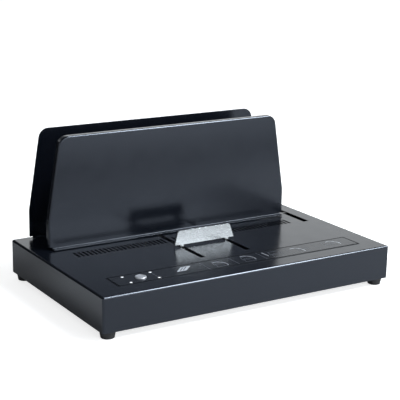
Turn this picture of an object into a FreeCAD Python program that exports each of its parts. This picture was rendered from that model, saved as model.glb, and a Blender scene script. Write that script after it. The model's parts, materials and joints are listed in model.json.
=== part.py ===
import FreeCAD, Part
import math
import os

# Thermal binding machine: a low folded-steel box on four rubber feet, with two upright plates that hold
# the document over a heated trough. The front plate rides on a carriage that a brushed handle moves along
# two slots. Millimetres, +X right, -Y towards the user, +Z up, with zero on the table under the box.
# The box is modelled about its own middle; the last lines move the whole to the middle of its footprint.

os.makedirs("parts", exist_ok=True)

Vec = FreeCAD.Vector

# Trough for the spine of an A4 document, and the plates' reach past its ends
trough_length = 318.0
trough_end_margin = 22.5
trough_front_gap = 3.5
trough_rear_gap = 7.5
trough_sheet = 1.0
trough_gap = 0.3

# Folded cover
sheet = 1.2
bend = 2.5

# Rubber feet
foot_height = 9.5
foot_top_diameter = 20.0
foot_bottom_diameter = 16.5
foot_inset = 12.0
foot_recess_diameter = 9.6
foot_recess_depth = 5.0
foot_screw_head_width = 7.0
foot_screw_head = 2.8
foot_screw_diameter = 4.0
foot_screw_play = 0.1
gusset_leg = 30.0
gusset_thick = 3.0

# Base pan
pan_gap = 0.3
pan_flange = 8.5
pan_vent_width = 4.0
pan_vent_length = 34.0
pan_vent_pitch = 12.0
pan_vent_count = 9
pan_vent_row_spacing = 150.0

# Upright plates
plate_spacing = 61.0
plate_closed_gap = 1.0
plate_margin_left = 22.0
plate_margin_right = 35.0
plate_margin_rear = 9.0
plate_rise = 146.0
plate_sheet = 1.5
plate_rim = 8.0
plate_rim_tolerance = 0.001
plate_shoulder = 38.0
plate_shoulder_round = 60.0
plate_taper = 17.5
plate_corner = 14.0
plate_fold = 1.0
plate_relief = 4.5
front_flange = 7.0
back_flange = 5.5
plate_lift = 0.8

# Slide of the front plate and its handle
travel_forward = 50.0
slot_clearance = 1.0
slot_margin = 14.25
arm_x = 3.75
arm_inset = 10.75
arm_width = 5.0
arm_height = 7.0
arm_slot_width = 7.0
arm_start_gap = 0.5
arm_drop = 10.0
tongue_inset = 25.5
tongue_width = 6.0
tongue_offset = 6.0
tongue_length = 6.0
tongue_slot_width = 9.0
tongue_depth = 0.6
side_arm_width = 10.0
side_arm_lead = 20.0
side_arm_depth = 12.0

# Handle
handle_width = 90.0
handle_top_width = 79.0
handle_height = 18.5
handle_thick = 3.5
handle_corner = 4.0
handle_edge = 0.4
handle_lean = 5.0
handle_to_plate = 66.0
handle_gap = 3.0
leg_foot_width = 9.0
leg_foot_length = 12.0
leg_foot_thick = 2.5

# Carriage under the cover
carriage_sheet = 2.0
carriage_width = 176.0
carriage_depth = 58.0
carriage_clearance = 1.0
rod_spacing = 146.0
rod_diameter = 8.0
rod_drop = 18.5
rod_play = 0.05
housing_width = 20.0
housing_height = 12.5
bush_diameter = 12.0
bush_play = 0.02
support_width = 22.0
support_thick = 8.0
support_socket = 6.0
support_cap = 6.0
support_gap = 1.0
support_clearance = 2.0
support_foot = 11.0
support_foot_thick = 3.0

# Heater in the trough
heater_drop = 13.0
heater_plate = 4.0
heater_gap = 1.2
heater_rib = 4.0
heater_edge = 0.8
element_thick = 1.5
element_gap = 1.0
terminal_width = 6.3
terminal_length = 9.0
terminal_thick = 0.8
pad_thick = 6.0
pad_gap = 0.8
thermostat_length = 24.0
thermostat_width = 14.0
thermostat_height = 9.0
thermostat_x = 60.0
fuse_diameter = 4.0
fuse_length = 14.0
fuse_x = -70.0
fuse_clip_width = 6.0
fuse_clip_thick = 0.8
sensor_clearance = 0.5
trough_post_width = 8.0
trough_post_inset = 22.0

# Vent row in the cover
vent_length = 19.0
vent_width = 3.6
vent_pitch = 6.0
vent_margin_left = 23.0
vent_margin_right = 17.0
vent_margin_rear = 16.0
vent_land = 1.5

# Control panel
overlay_depth = 35.5
overlay_margin_left = 34.0
overlay_margin_right = 28.0
overlay_margin_front = 25.25
overlay_film = 0.3
overlay_corner = 2.0
control_inset = 38.5
button_diameter = 14.0
button_proud = 1.8
button_bevel = 0.6
button_clearance = 0.3
button_collar_width = 17.0
button_collar = 1.2
button_stem = 5.0
button_travel = 1.0
plunger_width = 4.0
plunger_length = 7.0
plunger_play = 0.1
switch_width = 12.0
switch_height = 7.0
light_spacing_x = 38.0
light_spacing_y = 22.4
light_diameter = 3.4
light_clearance = 0.15
light_proud = 0.4
board_drop = 17.0
board_thick = 1.6
board_width = 60.0
board_depth = 50.0
post_width = 6.0
post_inset = 4.0
buzzer_width = 12.0
buzzer_height = 8.5

# Power supply
power_gap = 2.25
power_margin_front = 25.0
power_width = 76.0
power_depth = 84.0
power_post = 6.0
core_width = 34.0
core_depth = 12.0
core_height = 21.0
coil_depth = 24.0
coil_gap = 3.0
relay_width = 15.0
relay_depth = 19.0
relay_height = 15.5
capacitor_width = 18.0
capacitor_depth = 8.5
capacitor_height = 14.5
part_margin = 6.0
block_width = 30.0
block_depth = 9.0
block_height = 10.0
block_ways = 4
block_way = 4.0
block_way_share = 0.5

# Mains inlet
inlet_inset = 41.0
inlet_pan_gap = 1.25
inlet_arm_gap = 2.75
inlet_body_width = 27.0
inlet_body_height = 19.5
inlet_depth = 20.0
inlet_flange_width = 31.0
inlet_flange_height = 24.0
inlet_flange = 2.0
inlet_well_width = 23.5
inlet_well_height = 16.0
inlet_well_depth = 15.0
inlet_corner = 4.0
pin_width = 2.0
pin_height = 4.0
pin_length = 11.0
pin_spacing = 14.0
pin_offset = 1.0
earth_offset = 3.0
pin_tail = 7.0

# Mains rocker
rocker_inset = 24.0
rocker_drop = 22.0
bezel_width = 15.0
bezel_height = 22.5
bezel_thick = 1.8
rocker_body_width = 13.0
rocker_body_height = 20.5
rocker_body_depth = 15.0
rocker_well_width = 11.2
rocker_well_height = 18.6
rocker_well_depth = 9.0
rocker_width = 10.6
rocker_reach = 8.0
rocker_tip = 2.2
rocker_valley = 1.0
rocker_heel = 5.0
rocker_heel_reach = 4.5
rocker_pivot_depth = 2.0
rocker_pivot_diameter = 2.4
rocker_pivot_play = 0.05
rocker_pivot_length = 0.9
rocker_throw = 9.0
lug_tail_width = 4.8
lug_tail_length = 6.0
lug_tail_thick = 0.8

# Cuts run past the faces by this much
overrun = 1.0

# Size of the box, from what it holds
plate_width = trough_length + 2 * trough_end_margin
box_width = plate_margin_left + plate_width + plate_margin_right
control_depth = overlay_margin_front + overlay_depth + slot_margin
slide_depth = slot_clearance + travel_forward + handle_to_plate
box_depth = control_depth + slide_depth + plate_spacing + plate_margin_rear
inlet_stack = pan_flange + inlet_pan_gap + inlet_body_height + inlet_arm_gap
box_height = inlet_stack + carriage_sheet + arm_drop
travel_back = plate_spacing - plate_rim - plate_closed_gap

arm_spacing = handle_width - 2 * arm_inset

# Levels and faces that follow from the sizes
box_bottom = foot_height
top = box_bottom + box_height
ceiling = top - sheet
right = box_width / 2
rear = box_depth / 2
pan_floor = box_bottom + sheet
plate_x = (plate_margin_left - plate_margin_right) / 2
arm_slot_front = -rear + control_depth
handle_y = arm_slot_front + slot_clearance + travel_forward
front_plate_y = handle_y + handle_to_plate
back_plate_y = front_plate_y + plate_spacing
arm_start_y = handle_y + handle_thick + arm_start_gap
arm_floor = top - arm_drop
carriage_under = arm_floor - carriage_sheet
rod_level = top - rod_drop
arm_places = [arm_x - arm_spacing / 2, arm_x + arm_spacing / 2]
rod_places = [arm_x - rod_spacing / 2, arm_x + rod_spacing / 2]
flange_y = (front_plate_y - front_flange, front_plate_y - plate_fold)
trough_x = (plate_x - trough_length / 2, plate_x + trough_length / 2)
trough_y = (front_plate_y + plate_sheet + trough_front_gap, back_plate_y - trough_rear_gap)
trough_middle_y = (trough_y[0] + trough_y[1]) / 2
carriage_rear = trough_y[0] - trough_sheet - carriage_clearance - travel_back
carriage_front = carriage_rear - carriage_depth
support_rear = trough_y[0] - trough_sheet - support_clearance
housing_rear = support_rear - support_thick - support_gap - travel_back
housing_y = (carriage_front, housing_rear)
tongue_x = right - tongue_inset
tongue_y = (front_plate_y + tongue_offset, front_plate_y + tongue_offset + tongue_length)
overlay_x = (-right + overlay_margin_left, right - overlay_margin_right)
overlay_y = (-rear + overlay_margin_front, -rear + overlay_margin_front + overlay_depth)
control_x = overlay_x[0] + control_inset
control_y = (overlay_y[0] + overlay_y[1]) / 2
power_x = rod_places[1] + support_width / 2 + power_gap + power_width / 2
power_y = -rear + power_margin_front + power_depth / 2
inlet_x = right - inlet_inset
inlet_level = box_bottom + pan_flange + inlet_pan_gap + inlet_body_height / 2
rocker_x = -right + rocker_inset
rocker_level = top - rocker_drop
heater_top = top - heater_drop
element_top = heater_top - heater_plate
pad_top = element_top - element_thick
trough_inner_floor = pad_top - pad_thick
trough_floor = trough_inner_floor - trough_sheet
board_top = top - board_drop
board_under = board_top - board_thick
foot_places = [
    (sx * (right - foot_inset), sy * (rear - foot_inset))
    for sy in (-1, 1)
    for sx in (-1, 1)
]
through_top = (ceiling - overrun, top + overrun)

made = {}


def block(x, y, z):
    """Box between three (low, high) pairs."""
    return Part.makeBox(x[1] - x[0], y[1] - y[0], z[1] - z[0], Vec(x[0], y[0], z[0]))


def around(middle, size):
    """(low, high) pair of a size about its middle."""
    return (middle - size / 2, middle + size / 2)


def post(x, y, z, diameter):
    """Upright cylinder between two levels."""
    return Part.makeCylinder(diameter / 2, z[1] - z[0], Vec(x, y, z[0]))


def bar(x, y, z, diameter):
    """Cylinder along Y between two places."""
    return Part.makeCylinder(diameter / 2, y[1] - y[0], Vec(x, y[0], z), Vec(0, 1, 0))


def pin_across(x, y, z, diameter):
    """Cylinder along X between two places."""
    return Part.makeCylinder(diameter / 2, x[1] - x[0], Vec(x[0], y, z), Vec(1, 0, 0))


def joined(shapes):
    """One solid from touching shapes."""
    return shapes[0].fuse(list(shapes[1:])).removeSplitter()


def outline(corners, place):
    """Closed wire through (u, v, radius) corners, each rounded by its radius."""
    edges = []
    ends = []
    count = len(corners)
    for i, (u, v, radius) in enumerate(corners):
        here = place(u, v)
        if radius == 0:
            ends.append((here, here))
            continue
        before = place(*corners[i - 1][:2])
        after = place(*corners[(i + 1) % count][:2])
        back = (before - here).normalize()
        ahead = (after - here).normalize()
        half = back.getAngle(ahead) / 2
        start = here + back * (radius / math.tan(half))
        finish = here + ahead * (radius / math.tan(half))
        inward = (back + ahead).normalize()
        middle = here + inward * (radius / math.sin(half) - radius)
        edges.append((i, Part.Arc(start, middle, finish).toShape()))
        ends.append((start, finish))
    arcs = dict(edges)
    path = []
    for i in range(count):
        if i in arcs:
            path.append(arcs[i])
        path.append(Part.LineSegment(ends[i][1], ends[(i + 1) % count][0]).toShape())
    return Part.Wire(path)


def on_xy(z):
    return lambda u, v: Vec(u, v, z)


def on_xz(y):
    return lambda u, v: Vec(u, y, v)


def on_yz(x):
    return lambda u, v: Vec(x, u, v)


def prism(corners, place, run):
    """Solid swept straight along run from a rounded outline."""
    return Part.Face(outline(corners, place)).extrude(run)


def rounded_block(x, y, z, radius):
    """Box with its upright edges rounded."""
    corners = [(x[0], y[0], radius), (x[1], y[0], radius), (x[1], y[1], radius), (x[0], y[1], radius)]
    return prism(corners, on_xy(z[0]), Vec(0, 0, z[1] - z[0]))


def keyed_block(x, y, z, cut):
    """Box along Y whose two upper corners are cut off, as on a mains socket."""
    corners = [
        (x[0], z[0], 0),
        (x[1], z[0], 0),
        (x[1], z[1] - cut, 0),
        (x[1] - cut, z[1], 0),
        (x[0] + cut, z[1], 0),
        (x[0], z[1] - cut, 0),
    ]
    return prism(corners, on_xz(y[0]), Vec(0, y[1] - y[0], 0))


def hex_post(x, y, z, width):
    """Upright hexagonal bar, width across its flats."""
    turns = [math.radians(60 * i) for i in range(6)]
    side = width / math.sqrt(3)
    corners = [(x + side * math.cos(a), y + side * math.sin(a), 0) for a in turns]
    return prism(corners, on_xy(z[0]), Vec(0, 0, z[1] - z[0]))


def add(name, *solids):
    """Keep the solids of one named piece, or of a group of alike pieces."""
    made[name] = solids[0] if len(solids) == 1 else Part.Compound(list(solids))


def grid(x, y, spacing_x, spacing_y):
    """Four places about a middle."""
    return [
        (x + sx * spacing_x / 2, y + sy * spacing_y / 2)
        for sy in (-1, 1)
        for sx in (-1, 1)
    ]


light_places = grid(control_x, control_y, light_spacing_x, light_spacing_y)
light_columns = [control_x - light_spacing_x / 2, control_x + light_spacing_x / 2]


def outer_form():
    """Closed box of the cover's outer size, with rounded bends and ground corners."""
    body = block((-right, right), (-rear, rear), (box_bottom, top))
    rounds = [edge for edge in body.Edges if edge.BoundBox.ZMax > box_bottom]
    return body.makeFillet(bend, rounds)


def inner_space():
    """Space inside the cover: rounded at the bends, sharp at the welded corners."""
    x = (-right + sheet, right - sheet)
    y = (-rear + sheet, rear - sheet)
    space = block(x, y, (box_bottom - overrun, ceiling))
    bends = [edge for edge in space.Edges if edge.BoundBox.ZMin > box_bottom]
    return space.makeFillet(bend - sheet, bends)


def vents():
    """Narrow slots across the row, left out where an arm slot passes."""
    row = (plate_x - plate_width / 2 + vent_margin_left, plate_x + plate_width / 2 - vent_margin_right)
    count = round((row[1] - row[0]) / vent_pitch) + 1
    rear_end = front_plate_y - front_flange - vent_margin_rear
    y = (rear_end - vent_length, rear_end)
    reach = (arm_slot_width + vent_width) / 2 + vent_land
    slots = []
    for i in range(count):
        x = row[0] + i * vent_pitch
        if min(abs(x - place) for place in arm_places) > reach:
            slots.append(block(around(x, vent_width), y, through_top))
    return slots


def top_cover():
    body = outer_form().cut(inner_space())
    cuts = vents()
    cuts.append(block(trough_x, trough_y, through_top))
    for x in arm_places:
        y = (arm_slot_front, trough_y[0] + overrun)
        cuts.append(block(around(x, arm_slot_width), y, through_top))
    slot_front = tongue_y[0] - travel_forward - slot_clearance
    slot_rear = tongue_y[1] + travel_back + slot_clearance
    cuts.append(block(around(tongue_x, tongue_slot_width), (slot_front, slot_rear), through_top))
    hole = button_diameter + 2 * button_clearance
    cuts.append(post(control_x, control_y, through_top, hole))
    light_y = around(control_y, light_spacing_y + light_diameter + 2 * light_clearance)
    for x in light_columns:
        cuts.append(block(around(x, light_diameter + 2 * light_clearance), light_y, through_top))
    through_rear = (rear - sheet - overrun, rear + overrun)
    inlet_z = around(inlet_level, inlet_body_height)
    cuts.append(keyed_block(around(inlet_x, inlet_body_width), through_rear, inlet_z, inlet_corner))
    rocker_z = around(rocker_level, rocker_body_height)
    cuts.append(block(around(rocker_x, rocker_body_width), through_rear, rocker_z))
    add("top_cover", body.cut(cuts))


def base_pan():
    gap = sheet + pan_gap
    x = (-right + gap, right - gap)
    y = (-rear + gap, rear - gap)
    tray = block(x, y, (box_bottom, box_bottom + pan_flange))
    inner_x = (x[0] + sheet, x[1] - sheet)
    inner_y = (y[0] + sheet, y[1] - sheet)
    cuts = [block(inner_x, inner_y, (pan_floor, top))]
    corner = gusset_leg + 2 * overrun
    for sx in (-1, 1):
        for sy in (-1, 1):
            low_x, high_x = sorted((sx * (right - gap - corner), sx * right))
            low_y, high_y = sorted((sy * (rear - gap - corner), sy * rear))
            cuts.append(block((low_x, high_x), (low_y, high_y), (pan_floor, top)))
    through = (box_bottom - overrun, pan_floor + overrun)
    for x, y in foot_places:
        cuts.append(post(x, y, through, foot_screw_diameter + 2 * foot_screw_play))
    for row in (-1, 1):
        for i in range(pan_vent_count):
            x = (i - (pan_vent_count - 1) / 2) * pan_vent_pitch + row * pan_vent_row_spacing / 2
            y = around(trough_middle_y, pan_vent_length)
            cuts.append(block(around(x, pan_vent_width), y, through))
    add("base_pan", tray.cut(cuts))


def feet():
    rubbers = []
    screws = []
    gussets = []
    bore = foot_screw_diameter + 2 * foot_screw_play
    gusset_top = pan_floor + gusset_thick
    for x, y in foot_places:
        cone = Part.makeCone(foot_bottom_diameter / 2, foot_top_diameter / 2, foot_height, Vec(x, y, 0))
        recess = post(x, y, (-overrun, foot_recess_depth), foot_recess_diameter)
        hole = post(x, y, (0, foot_height + overrun), bore)
        rubbers.append(cone.cut([recess, hole]))
        seat = foot_recess_depth
        head = hex_post(x, y, (seat - foot_screw_head, seat), foot_screw_head_width)
        shank = post(x, y, (seat - foot_screw_head, gusset_top), foot_screw_diameter)
        screws.append(joined([head, shank]))
        sx = math.copysign(1, x)
        sy = math.copysign(1, y)
        wall_x = sx * (right - sheet)
        wall_y = sy * (rear - sheet)
        corners = [
            (wall_x - sx * (bend - sheet), wall_y, 0),
            (wall_x - sx * gusset_leg, wall_y, 0),
            (wall_x, wall_y - sy * gusset_leg, 0),
            (wall_x, wall_y - sy * (bend - sheet), 0),
        ]
        gusset = prism(corners, on_xy(pan_floor), Vec(0, 0, gusset_thick))
        gussets.append(gusset.cut(post(x, y, (box_bottom, top), bore)))
    add("rubber_feet", *rubbers)
    add("foot_screws", *screws)
    add("corner_gussets", *gussets)


def upright_plate(face, level, flange):
    """Face of a plate with rounded upper corners, and its foot, folded towards the user."""
    half = plate_width / 2
    half_top = half - plate_taper
    fold_top = level + plate_sheet + plate_fold
    low = fold_top + overrun
    corners = [
        (plate_x - half, low, 0),
        (plate_x + half, low, 0),
        (plate_x + half, top + plate_shoulder, plate_shoulder_round),
        (plate_x + half_top, top + plate_rise, plate_corner),
        (plate_x - half_top, top + plate_rise, plate_corner),
        (plate_x - half, top + plate_shoulder, plate_shoulder_round),
    ]
    board = Part.Face(outline(corners, on_xz(face)))
    profile = [
        (face - flange, level, 0),
        (face - flange, level + plate_sheet, 0),
        (face, level + plate_sheet, plate_fold),
        (face, low + plate_sheet, 0),
        (face + plate_sheet, low + plate_sheet, 0),
        (face + plate_sheet, level, plate_fold + plate_sheet),
    ]
    run = plate_width - 2 * plate_relief
    foot = prism(profile, on_yz(plate_x - run / 2), Vec(run, 0, 0))
    return board, foot


def plates():
    """A flat back plate, and a front one whose rim is turned back at its top and ends."""
    board, foot = upright_plate(back_plate_y, top, back_flange)
    add("back_plate", joined([board.extrude(Vec(0, plate_sheet, 0)), foot]))
    board, foot = upright_plate(front_plate_y, top + plate_lift, front_flange)
    form = board.extrude(Vec(0, plate_rim, 0))
    low = form.BoundBox.ZMin + plate_sheet
    opened = [side for side in form.Faces if side.BoundBox.YMin > front_plate_y or side.BoundBox.ZMax < low]
    tray = form.makeThickness(opened, -plate_sheet, plate_rim_tolerance)
    add("front_plate", joined([tray, foot]))


def slide_arms():
    for name, x in zip(["slide_arm_left", "slide_arm_right"], arm_places):
        wide = around(x, arm_width)
        beam = block(wide, (arm_start_y, flange_y[1]), (arm_floor, arm_floor + arm_height))
        riser = block(wide, flange_y, (arm_floor, top + plate_lift))
        add(name, joined([beam, riser]))


def handle():
    half = handle_width / 2
    half_top = handle_top_width / 2
    low = top + handle_gap
    corners = [
        (arm_x - half, low, 0),
        (arm_x + half, low, 0),
        (arm_x + half_top, low + handle_height, handle_corner),
        (arm_x - half_top, low + handle_height, handle_corner),
    ]
    grip = prism(corners, on_xz(handle_y), Vec(0, handle_thick, 0))
    rims = [edge for edge in grip.Edges if edge.BoundBox.YLength < handle_edge]
    grip = grip.makeChamfer(handle_edge, rims)
    grip.rotate(Vec(arm_x, handle_y + handle_thick, low), Vec(1, 0, 0), -handle_lean)
    pieces = [grip]
    leg_y = (handle_y, handle_y + handle_thick)
    foot_y = (leg_y[1] - leg_foot_length, leg_y[1])
    for x in arm_places:
        pieces.append(block(around(x, arm_width), leg_y, (arm_floor, low + handle_edge)))
        foot_z = (arm_floor, arm_floor + leg_foot_thick)
        pieces.append(block(around(x, leg_foot_width), foot_y, foot_z))
    add("handle", joined(pieces))


def carriage():
    deck_z = (carriage_under, arm_floor)
    side_x = around(tongue_x, side_arm_width)
    deck = block(around(arm_x, carriage_width), (carriage_front, carriage_rear), deck_z)
    side_front = carriage_rear - side_arm_lead
    reach = block((arm_x, side_x[1]), (side_front, side_front + side_arm_depth), deck_z)
    side = block(side_x, (side_front, tongue_y[1]), deck_z)
    tongue = block(around(tongue_x, tongue_width), tongue_y, (carriage_under, top - tongue_depth))
    add("carriage_deck", joined([deck, reach, side, tongue]))
    housing_z = (carriage_under - housing_height, carriage_under)
    housing_bore = bush_diameter + 2 * bush_play
    bushes = []
    for name, x in zip(["bearing_housing_left", "bearing_housing_right"], rod_places):
        body = block(around(x, housing_width), housing_y, housing_z)
        add(name, body.cut(bar(x, housing_y, rod_level, housing_bore)))
        sleeve = bar(x, housing_y, rod_level, bush_diameter)
        bushes.append(sleeve.cut(bar(x, housing_y, rod_level, rod_diameter + 2 * rod_play)))
    add("slide_bushes", *bushes)


def guide_rods():
    front_face = housing_y[0] - travel_forward - support_gap
    rear_face = housing_y[1] + travel_back + support_gap
    supports = []
    for name, x in zip(["guide_rod_left", "guide_rod_right"], rod_places):
        rod_y = (front_face - support_socket, rear_face + support_socket)
        add(name, bar(x, rod_y, rod_level, rod_diameter))
        for face, way in ((front_face, -1), (rear_face, 1)):
            wall_y = sorted((face, face + way * support_thick))
            foot_y = sorted((face, face + way * (support_thick + support_foot)))
            wall = block(around(x, support_width), wall_y, (pan_floor, rod_level + support_cap))
            foot = block(around(x, support_width), foot_y, (pan_floor, pan_floor + support_foot_thick))
            socket_y = sorted((face - way * overrun, face + way * support_socket))
            socket = bar(x, socket_y, rod_level, rod_diameter + 2 * bush_play)
            supports.append(joined([wall, foot]).cut(socket))
    add("rod_supports", *supports)


def heater():
    outer_x = (trough_x[0] - trough_sheet, trough_x[1] + trough_sheet)
    outer_y = (trough_y[0] - trough_sheet, trough_y[1] + trough_sheet)
    pan = block(outer_x, outer_y, (trough_floor, ceiling - trough_gap))
    cuts = [block(trough_x, trough_y, (trough_inner_floor, top))]
    for x in arm_places:
        notch_y = (outer_y[0] - overrun, trough_y[0] + overrun)
        cuts.append(block(around(x, arm_slot_width), notch_y, (arm_floor - support_gap, top)))
    sensor_hole = block(
        around(thermostat_x, thermostat_length + 2 * sensor_clearance),
        around(trough_middle_y, thermostat_width + 2 * sensor_clearance),
        (trough_floor - overrun, element_top),
    )
    fuse_size = fuse_length + 2 * sensor_clearance
    fuse_pocket = block(
        around(fuse_x, fuse_size),
        around(trough_middle_y, fuse_clip_width + 2 * sensor_clearance + 2 * fuse_clip_thick),
        (trough_inner_floor, element_top),
    )
    add("heater_trough", pan.cut([*cuts, sensor_hole]))
    pad_x = (trough_x[0] + pad_gap, trough_x[1] - pad_gap)
    pad_y = (trough_y[0] + pad_gap, trough_y[1] - pad_gap)
    pad = block(pad_x, pad_y, (trough_inner_floor, pad_top))
    add("insulation_pad", pad.cut([sensor_hole, fuse_pocket]))
    plate_x_span = (trough_x[0] + heater_gap, trough_x[1] - heater_gap)
    plate_y_span = (trough_y[0] + heater_gap, trough_y[1] - heater_gap)
    slab = block(plate_x_span, plate_y_span, (element_top, heater_top))
    rims = [edge for edge in slab.Edges if edge.BoundBox.ZMin > element_top]
    ribs = []
    for low in (plate_y_span[0], plate_y_span[1] - heater_rib):
        ribs.append(block(plate_x_span, (low, low + heater_rib), (pad_top, element_top)))
    add("heating_plate", joined([slab.makeChamfer(heater_edge, rims), *ribs]))
    element_x = (plate_x_span[0] + element_gap, plate_x_span[1] - element_gap)
    inset = heater_rib + element_gap
    element_y = (plate_y_span[0] + inset, plate_y_span[1] - inset)
    element = block(element_x, element_y, (pad_top, element_top))
    add("heating_element", element.cut([sensor_hole, fuse_pocket]))
    body_z = (element_top - thermostat_height, element_top)
    body = block(around(thermostat_x, thermostat_length), around(trough_middle_y, thermostat_width), body_z)
    blades = [
        block(
            around(thermostat_x + side * thermostat_length / 4, terminal_thick),
            around(trough_middle_y, terminal_width),
            (body_z[0] - terminal_length, body_z[0]),
        )
        for side in (-1, 1)
    ]
    add("thermostat", joined([body, *blades]))
    fuse_level = element_top - fuse_diameter / 2
    fuse = pin_across(around(fuse_x, fuse_length), trough_middle_y, fuse_level, fuse_diameter)
    clip_z = (element_top - fuse_diameter - fuse_clip_thick, element_top)
    add("thermal_fuse", fuse)
    strap_y = around(trough_middle_y, fuse_diameter + 2 * fuse_clip_thick)
    strap = block(around(fuse_x, fuse_clip_width), strap_y, clip_z)
    space_z = (clip_z[0] + fuse_clip_thick, element_top)
    space = block(around(fuse_x, fuse_length), around(trough_middle_y, fuse_diameter), space_z)
    add("fuse_clip", strap.cut(space))
    trough_post_spacing = (trough_length - 2 * trough_post_inset, (trough_y[1] - trough_y[0]) / 2)
    posts = [
        hex_post(x, y, (pan_floor, trough_floor), trough_post_width)
        for x, y in grid(plate_x, trough_middle_y, *trough_post_spacing)
    ]
    add("trough_posts", *posts)


def control_panel():
    overlay = rounded_block(overlay_x, overlay_y, (top, top + overlay_film), overlay_corner)
    through = (top - overrun, top + overrun)
    holes = [post(control_x, control_y, through, button_diameter + 2 * button_clearance)]
    for x, y in light_places:
        holes.append(post(x, y, through, light_diameter + 2 * light_clearance))
    add("panel_overlay", overlay.cut(holes))
    collar_top = ceiling - button_clearance
    collar_low = collar_top - button_collar
    stem_low = board_top + switch_height + plunger_length / 2
    cap = post(control_x, control_y, (collar_low, top + button_proud), button_diameter)
    crown = [edge for edge in cap.Edges if edge.BoundBox.ZMin > top]
    cap = cap.makeChamfer(button_bevel, crown)
    collar_y = around(control_y, button_collar_width)
    collar = block(around(control_x, button_collar_width), collar_y, (collar_low, collar_top))
    stem = block(around(control_x, button_stem), around(control_y, button_stem), (stem_low, collar_low))
    add("start_button", joined([cap, collar, stem]))
    plunger_low = stem_low - plunger_length
    plunger_x = around(control_x, plunger_width)
    plunger_y = around(control_y, plunger_width)
    add("switch_plunger", block(plunger_x, plunger_y, (plunger_low, stem_low)))
    case_z = (board_top, board_top + switch_height)
    case = block(around(control_x, switch_width), around(control_y, switch_width), case_z)
    well_x = around(control_x, plunger_width + 2 * plunger_play)
    well_y = around(control_y, plunger_width + 2 * plunger_play)
    well = block(well_x, well_y, (plunger_low - button_travel - plunger_play, top))
    add("button_switch", case.cut(well))
    pipes = [
        post(x, y, (board_top, top + overlay_film + light_proud), light_diameter)
        for x, y in light_places
    ]
    add("light_pipes", *pipes)
    buzzer_x = control_x + board_width / 2 - part_margin - buzzer_width / 2
    buzzer_z = (board_top, board_top + buzzer_height)
    add("buzzer", block(around(buzzer_x, buzzer_width), around(control_y, buzzer_width), buzzer_z))


def board(name, x, y, width, depth, under):
    """Circuit board on four posts, which are handed back."""
    add(name, block(around(x, width), around(y, depth), (under, under + board_thick)))
    places = grid(x, y, width - 2 * post_inset, depth - 2 * post_inset)
    return [hex_post(px, py, (pan_floor, under), post_width) for px, py in places]


def boards():
    posts = board("control_board", control_x, control_y, board_width, board_depth, board_under)
    power_under = pan_floor + power_post
    posts += board("power_board", power_x, power_y, power_width, power_depth, power_under)
    add("board_posts", *posts)
    floor = power_under + board_thick
    corner_x = power_x - power_width / 2 + 2 * part_margin
    corner_y = power_y - power_depth / 2 + 2 * part_margin
    core_y = around(corner_y + coil_depth / 2, core_depth)
    core_x = (corner_x, corner_x + core_width)
    core = block(core_x, core_y, (floor, floor + core_height))
    coil_x = (core_x[0] + core_width / 4, core_x[1] - core_width / 4)
    coil_y = around(corner_y + coil_depth / 2, coil_depth)
    coil = block(coil_x, coil_y, (floor, floor + core_height - coil_gap))
    add("transformer", joined([core, coil]))
    relay_x = (core_x[1] + part_margin, core_x[1] + part_margin + relay_width)
    add("heater_relay", block(relay_x, (corner_y, corner_y + relay_depth), (floor, floor + relay_height)))
    can_x = (corner_x, corner_x + capacitor_width)
    can_y = (corner_y + coil_depth + part_margin, corner_y + coil_depth + part_margin + capacitor_depth)
    add("capacitor", block(can_x, can_y, (floor, floor + capacitor_height)))
    row_x = (core_x[1] - block_width / 2, core_x[1] + block_width / 2)
    row_y = power_y + power_depth / 2 - part_margin
    strip = block(row_x, (row_y - block_depth, row_y), (floor, floor + block_height))
    ways = []
    for i in range(block_ways):
        x = row_x[0] + (i + block_way_share) * block_width / block_ways
        way_y = around(row_y - block_depth / 2, block_way)
        ways.append(block(around(x, block_way), way_y, (floor + block_height / 2, top)))
    add("terminal_block", strip.cut(ways))


def power_inlet():
    mouth = rear + inlet_flange
    body_z = around(inlet_level, inlet_body_height)
    body_y = (rear - inlet_depth, rear)
    body = keyed_block(around(inlet_x, inlet_body_width), body_y, body_z, inlet_corner)
    flange_z = around(inlet_level, inlet_flange_height)
    flange = block(around(inlet_x, inlet_flange_width), (rear, mouth), flange_z)
    well_y = (mouth - inlet_well_depth, mouth + overrun)
    well_z = around(inlet_level, inlet_well_height)
    well = keyed_block(around(inlet_x, inlet_well_width), well_y, well_z, inlet_corner)
    floor_y = mouth - inlet_well_depth
    pins = []
    places = [
        (inlet_x - pin_spacing / 2, inlet_level + pin_offset),
        (inlet_x + pin_spacing / 2, inlet_level + pin_offset),
        (inlet_x, inlet_level + earth_offset),
    ]
    for x, z in places:
        pin_y = (rear - inlet_depth - pin_tail, floor_y + pin_length)
        pins.append(block(around(x, pin_width), pin_y, around(z, pin_height)))
    add("power_inlet", joined([body, flange]).cut([well, *pins]))
    add("inlet_pins", *pins)


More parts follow.
